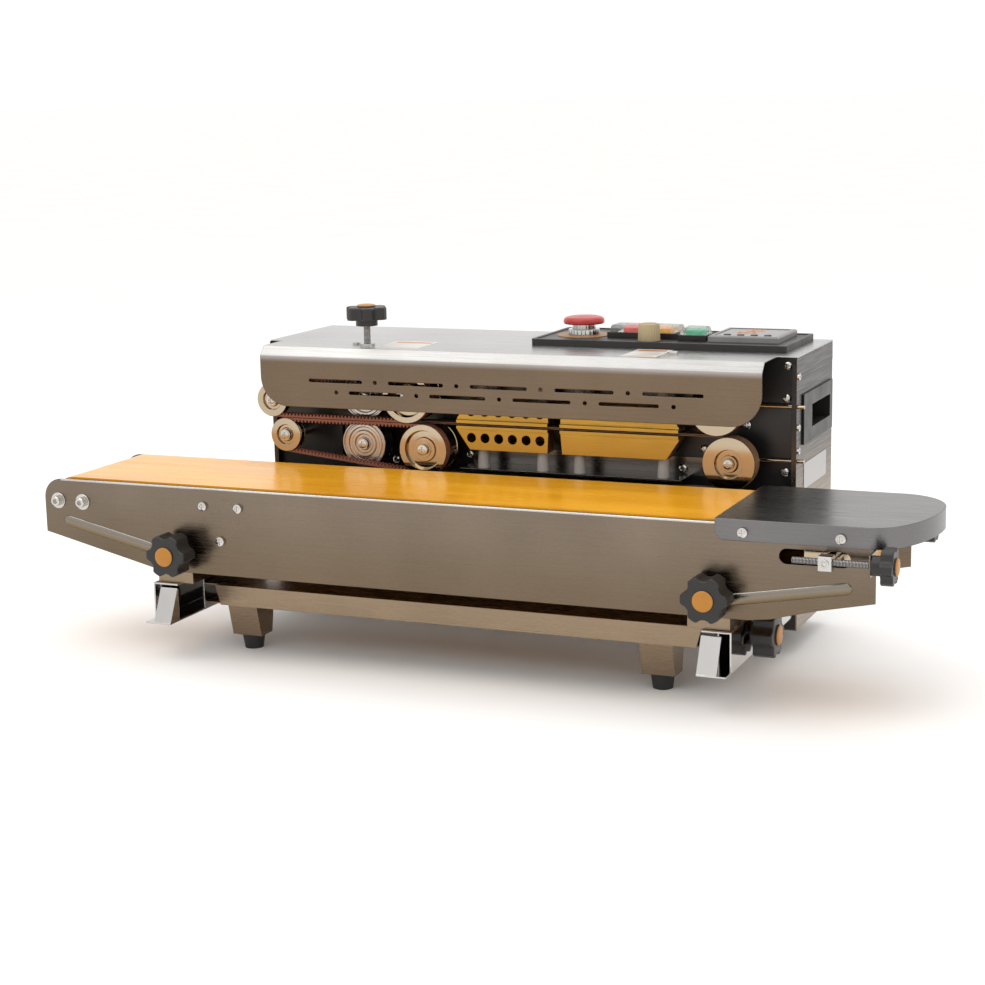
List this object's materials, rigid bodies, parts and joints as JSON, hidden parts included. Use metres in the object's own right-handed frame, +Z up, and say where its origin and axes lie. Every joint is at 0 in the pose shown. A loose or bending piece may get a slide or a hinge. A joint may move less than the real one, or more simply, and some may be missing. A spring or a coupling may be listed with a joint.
{
  "type": "continuous band sealer",
  "caption": "Tabletop continuous band sealer: a coated belt conveyor carries bags past heated and cooled sealing bars between running bands.",
  "frame": {"origin": "middle of the footprint, on the surface that the feet stand on", "axes": "+X to the right along the conveyor, +Y backwards from the conveyor to the sealing head, +Z up"},
  "size_m": [0.9, 0.381, 0.3422],
  "materials": {
    "stainless": "brushed",
    "polished_steel": "polished",
    "belt": "glossy coated belt",
    "black_paint": "satin powder coat",
    "black_plastic": "moulded",
    "rubber": "moulded rubber",
    "machined_steel": "turned",
    "gold_block": "anodised gold",
    "ceramic": "unglazed",
    "guide_belt": "toothed urethane",
    "seal_band": "coated glass cloth",
    "press_rubber": "turned",
    "red_plastic": "moulded",
    "amber_plastic": "moulded",
    "green_plastic": "moulded",
    "beige_plastic": "moulded",
    "grey_plastic": "moulded",
    "clear_cover": "clear soft cover",
    "motor_paint": "enamel",
    "chain_steel": "oiled"
  },
  "bodies": {
    "machine": {"block_shelves": "stainless", "block_spacers": "ceramic", "carry_handles": "black_plastic", "control_bezel": "black_plastic", "cooling_blocks": "gold_block", "cross_rails": "polished_steel", "drive_chain": "chain_steel", "floor_and_rear_panel": "stainless", "front_base_rail": "stainless", "front_panel": "black_paint", "gear_motor": "motor_paint", "gear_support_plate": "stainless", "guide_belts": "guide_belt", "heater_cartridges": "polished_steel", "heating_blocks": "gold_block", "panel_fasteners": "machined_steel", "power_inlet": "black_plastic", "rocker_covers": "clear_cover", "rubber_feet": "rubber", "seal_bands": "seal_band", "side_panels": "stainless", "switch_housings": "black_plastic", "temperature_controller": "grey_plastic", "top_cover": "stainless"},
    "slide_carriage": {"slide_brackets": "stainless"},
    "rail_knob": {"right_rail_knob": "black_plastic"},
    "conveyor": {"side_plates": "stainless", "conveyor_belt": "belt", "belt_bed": "stainless", "infeed_table": "stainless", "conveyor_fasteners": "machined_steel", "roller_supports": "machined_steel"},
    "left_clamp": {"left_clamp_knob": "black_plastic"},
    "right_clamp": {"right_clamp_knob": "black_plastic"},
    "left_end_roller": {"end_roller": "machined_steel"},
    "belt_drive_roller": {"conveyor_drive_roller": "rubber"},
    "tail_axle": {"tail_roller_axle": "polished_steel"},
    "right_tail_roller": {"tail_roller": "machined_steel"},
    "front_tension": {"front_tension_knob": "black_plastic"},
    "rear_tension": {"rear_tension_knob": "black_plastic"},
    "lower_drive": {"lower_drive_wheel": "machined_steel", "lower_drive_gear": "machined_steel"},
    "upper_drive": {"upper_drive_wheel": "machined_steel", "upper_drive_gear": "machined_steel"},
    "motor_output": {"motor_sprocket": "machined_steel"},
    "lower_idler": {"lower_guide_idler": "machined_steel"},
    "upper_idler": {"upper_guide_idler": "machined_steel"},
    "lower_press": {"lower_press_wheel": "press_rubber"},
    "yoke": {"press_yoke": "machined_steel"},
    "upper_press": {"upper_press_wheel": "press_rubber"},
    "press_screw": {"press_knob": "black_plastic"},
    "lower_slider": {"lower_wheel_slider": "machined_steel"},
    "lower_tension": {"lower_tension_wheel": "machined_steel"},
    "upper_slider": {"upper_wheel_slider": "machined_steel"},
    "upper_tension": {"upper_tension_wheel": "machined_steel"},
    "stop_button": {"estop_button": "red_plastic"},
    "speed_control": {"speed_knob": "beige_plastic"},
    "red_switch": {"red_rocker": "red_plastic"},
    "amber_switch": {"amber_rocker": "amber_plastic"},
    "green_switch": {"green_rocker": "green_plastic"}
  },
  "joints": [
    {"name": "conveyor_in_out", "type": "slide", "parent": "machine", "child": "slide_carriage", "axis": [0, 1, 0], "range_m": [-0.03, 0.006]},
    {"name": "conveyor_height", "type": "slide", "parent": "slide_carriage", "child": "conveyor", "axis": [0, 0, 1], "range_m": [-0.008, 0.022]},
    {"name": "rail_knob_turn", "type": "hinge", "parent": "slide_carriage", "child": "rail_knob", "pos_m": [0.282, -0.0935, 0.061], "axis": [1, 0, 0], "range_deg": [0, 720]},
    {"name": "left_clamp_turn", "type": "hinge", "parent": "conveyor", "child": "left_clamp", "pos_m": [-0.29, -0.1575, 0.1125], "axis": [0, 1, 0], "range_deg": [0, 720]},
    {"name": "right_clamp_turn", "type": "hinge", "parent": "conveyor", "child": "right_clamp", "pos_m": [0.264, -0.1575, 0.1125], "axis": [0, 1, 0], "range_deg": [0, 720]},
    {"name": "end_roller_spin", "type": "hinge", "parent": "conveyor", "child": "left_end_roller", "pos_m": [-0.419, -0.0825, 0.155], "axis": [0, 1, 0], "continuous": true},
    {"name": "belt_drive_spin", "type": "hinge", "parent": "conveyor", "child": "belt_drive_roller", "pos_m": [-0.242, -0.0825, 0.148], "axis": [0, 1, 0], "continuous": true},
    {"name": "tail_roller_take_up", "type": "slide", "parent": "conveyor", "child": "tail_axle", "axis": [1, 0, 0], "range_m": [-0.01, 0]},
    {"name": "tail_roller_spin", "type": "hinge", "parent": "tail_axle", "child": "right_tail_roller", "pos_m": [0.37, -0.0825, 0.151], "axis": [0, 1, 0], "continuous": true},
    {"name": "front_tension_turn", "type": "hinge", "parent": "conveyor", "child": "front_tension", "pos_m": [0.41, -0.1725, 0.152], "axis": [1, 0, 0], "range_deg": [-3602, 2]},
    {"name": "rear_tension_turn", "type": "hinge", "parent": "conveyor", "child": "rear_tension", "pos_m": [0.41, 0.0075, 0.152], "axis": [1, 0, 0], "range_deg": [-3602, 2]},
    {"name": "lower_drive_spin", "type": "hinge", "parent": "machine", "child": "lower_drive", "pos_m": [-0.096, 0.0225, 0.1967], "axis": [0, 1, 0], "continuous": true},
    {"name": "upper_drive_spin", "type": "hinge", "parent": "machine", "child": "upper_drive", "pos_m": [-0.114, 0.0225, 0.2503], "axis": [0, 1, 0], "continuous": true},
    {"name": "motor_spin", "type": "hinge", "parent": "machine", "child": "motor_output", "pos_m": [0, 0.0705, 0.09], "axis": [0, 1, 0], "continuous": true},
    {"name": "lower_idler_spin", "type": "hinge", "parent": "machine", "child": "lower_idler", "pos_m": [-0.256, 0.0105, 0.2052], "axis": [0, 1, 0], "continuous": true},
    {"name": "upper_idler_spin", "type": "hinge", "parent": "machine", "child": "upper_idler", "pos_m": [-0.271, 0.0105, 0.2418], "axis": [0, 1, 0], "continuous": true},
    {"name": "lower_press_spin", "type": "hinge", "parent": "machine", "child": "lower_press", "pos_m": [-0.169, 0.0225, 0.1982], "axis": [0, 1, 0], "continuous": true},
    {"name": "press_height", "type": "slide", "parent": "machine", "child": "yoke", "axis": [0, 0, 1], "range_m": [0, 0.005]},
    {"name": "upper_press_spin", "type": "hinge", "parent": "yoke", "child": "upper_press", "pos_m": [-0.167, 0.0225, 0.2488], "axis": [0, 1, 0], "continuous": true},
    {"name": "press_knob_turn", "type": "hinge", "parent": "machine", "child": "press_screw", "pos_m": [-0.165, 0.0225, 0.321], "axis": [0, 0, 1], "range_deg": [-2, 1442]},
    {"name": "lower_slider_move", "type": "slide", "parent": "machine", "child": "lower_slider", "axis": [1, 0, 0], "range_m": [-0.006, 0]},
    {"name": "lower_tension_spin", "type": "hinge", "parent": "lower_slider", "child": "lower_tension", "pos_m": [0.226, 0.0225, 0.1967], "axis": [0, 1, 0], "continuous": true},
    {"name": "upper_slider_move", "type": "slide", "parent": "machine", "child": "upper_slider", "axis": [1, 0, 0], "range_m": [-0.006, 0]},
    {"name": "upper_tension_spin", "type": "hinge", "parent": "upper_slider", "child": "upper_tension", "pos_m": [0.213, 0.0225, 0.2503], "axis": [0, 1, 0], "continuous": true},
    {"name": "stop_button_push", "type": "slide", "parent": "machine", "child": "stop_button", "axis": [0, 0, -1], "range_m": [0, 0.005]},
    {"name": "speed_knob_turn", "type": "hinge", "parent": "machine", "child": "speed_control", "pos_m": [0.1195, 0.0925, 0.31], "axis": [0, 0, -1], "range_deg": [0, 270]},
    {"name": "red_rocker_tilt", "type": "hinge", "parent": "machine", "child": "red_switch", "pos_m": [0.0915, 0.1275, 0.308], "axis": [1, 0, 0], "range_deg": [0, 16]},
    {"name": "amber_rocker_tilt", "type": "hinge", "parent": "machine", "child": "amber_switch", "pos_m": [0.1245, 0.1275, 0.308], "axis": [1, 0, 0], "range_deg": [0, 16]},
    {"name": "green_rocker_tilt", "type": "hinge", "parent": "machine", "child": "green_switch", "pos_m": [0.161, 0.1185, 0.308], "axis": [1, 0, 0], "range_deg": [0, 16]}
  ],
  "couplings": [
    {"joint": "upper_drive_spin", "follows": "lower_drive_spin", "ratio": -1},
    {"joint": "motor_spin", "follows": "lower_drive_spin", "ratio": 1},
    {"joint": "lower_idler_spin", "follows": "lower_drive_spin", "ratio": 1.4722},
    {"joint": "upper_idler_spin", "follows": "lower_drive_spin", "ratio": -1.4722},
    {"joint": "lower_press_spin", "follows": "lower_drive_spin", "ratio": 1.06},
    {"joint": "upper_press_spin", "follows": "lower_drive_spin", "ratio": -1.06},
    {"joint": "lower_tension_spin", "follows": "lower_drive_spin", "ratio": 1},
    {"joint": "upper_tension_spin", "follows": "lower_drive_spin", "ratio": -1},
    {"joint": "end_roller_spin", "follows": "lower_drive_spin", "ratio": 1.1042},
    {"joint": "tail_roller_spin", "follows": "lower_drive_spin", "ratio": 0.94643},
    {"joint": "belt_drive_spin", "follows": "lower_drive_spin", "ratio": 1.4722},
    {"joint": "front_tension_turn", "follows": "tail_roller_take_up", "rad_per_m": 6283.2},
    {"joint": "rear_tension_turn", "follows": "tail_roller_take_up", "rad_per_m": 6283.2},
    {"joint": "press_knob_turn", "follows": "press_height", "rad_per_m": 5026.5}
  ]
}
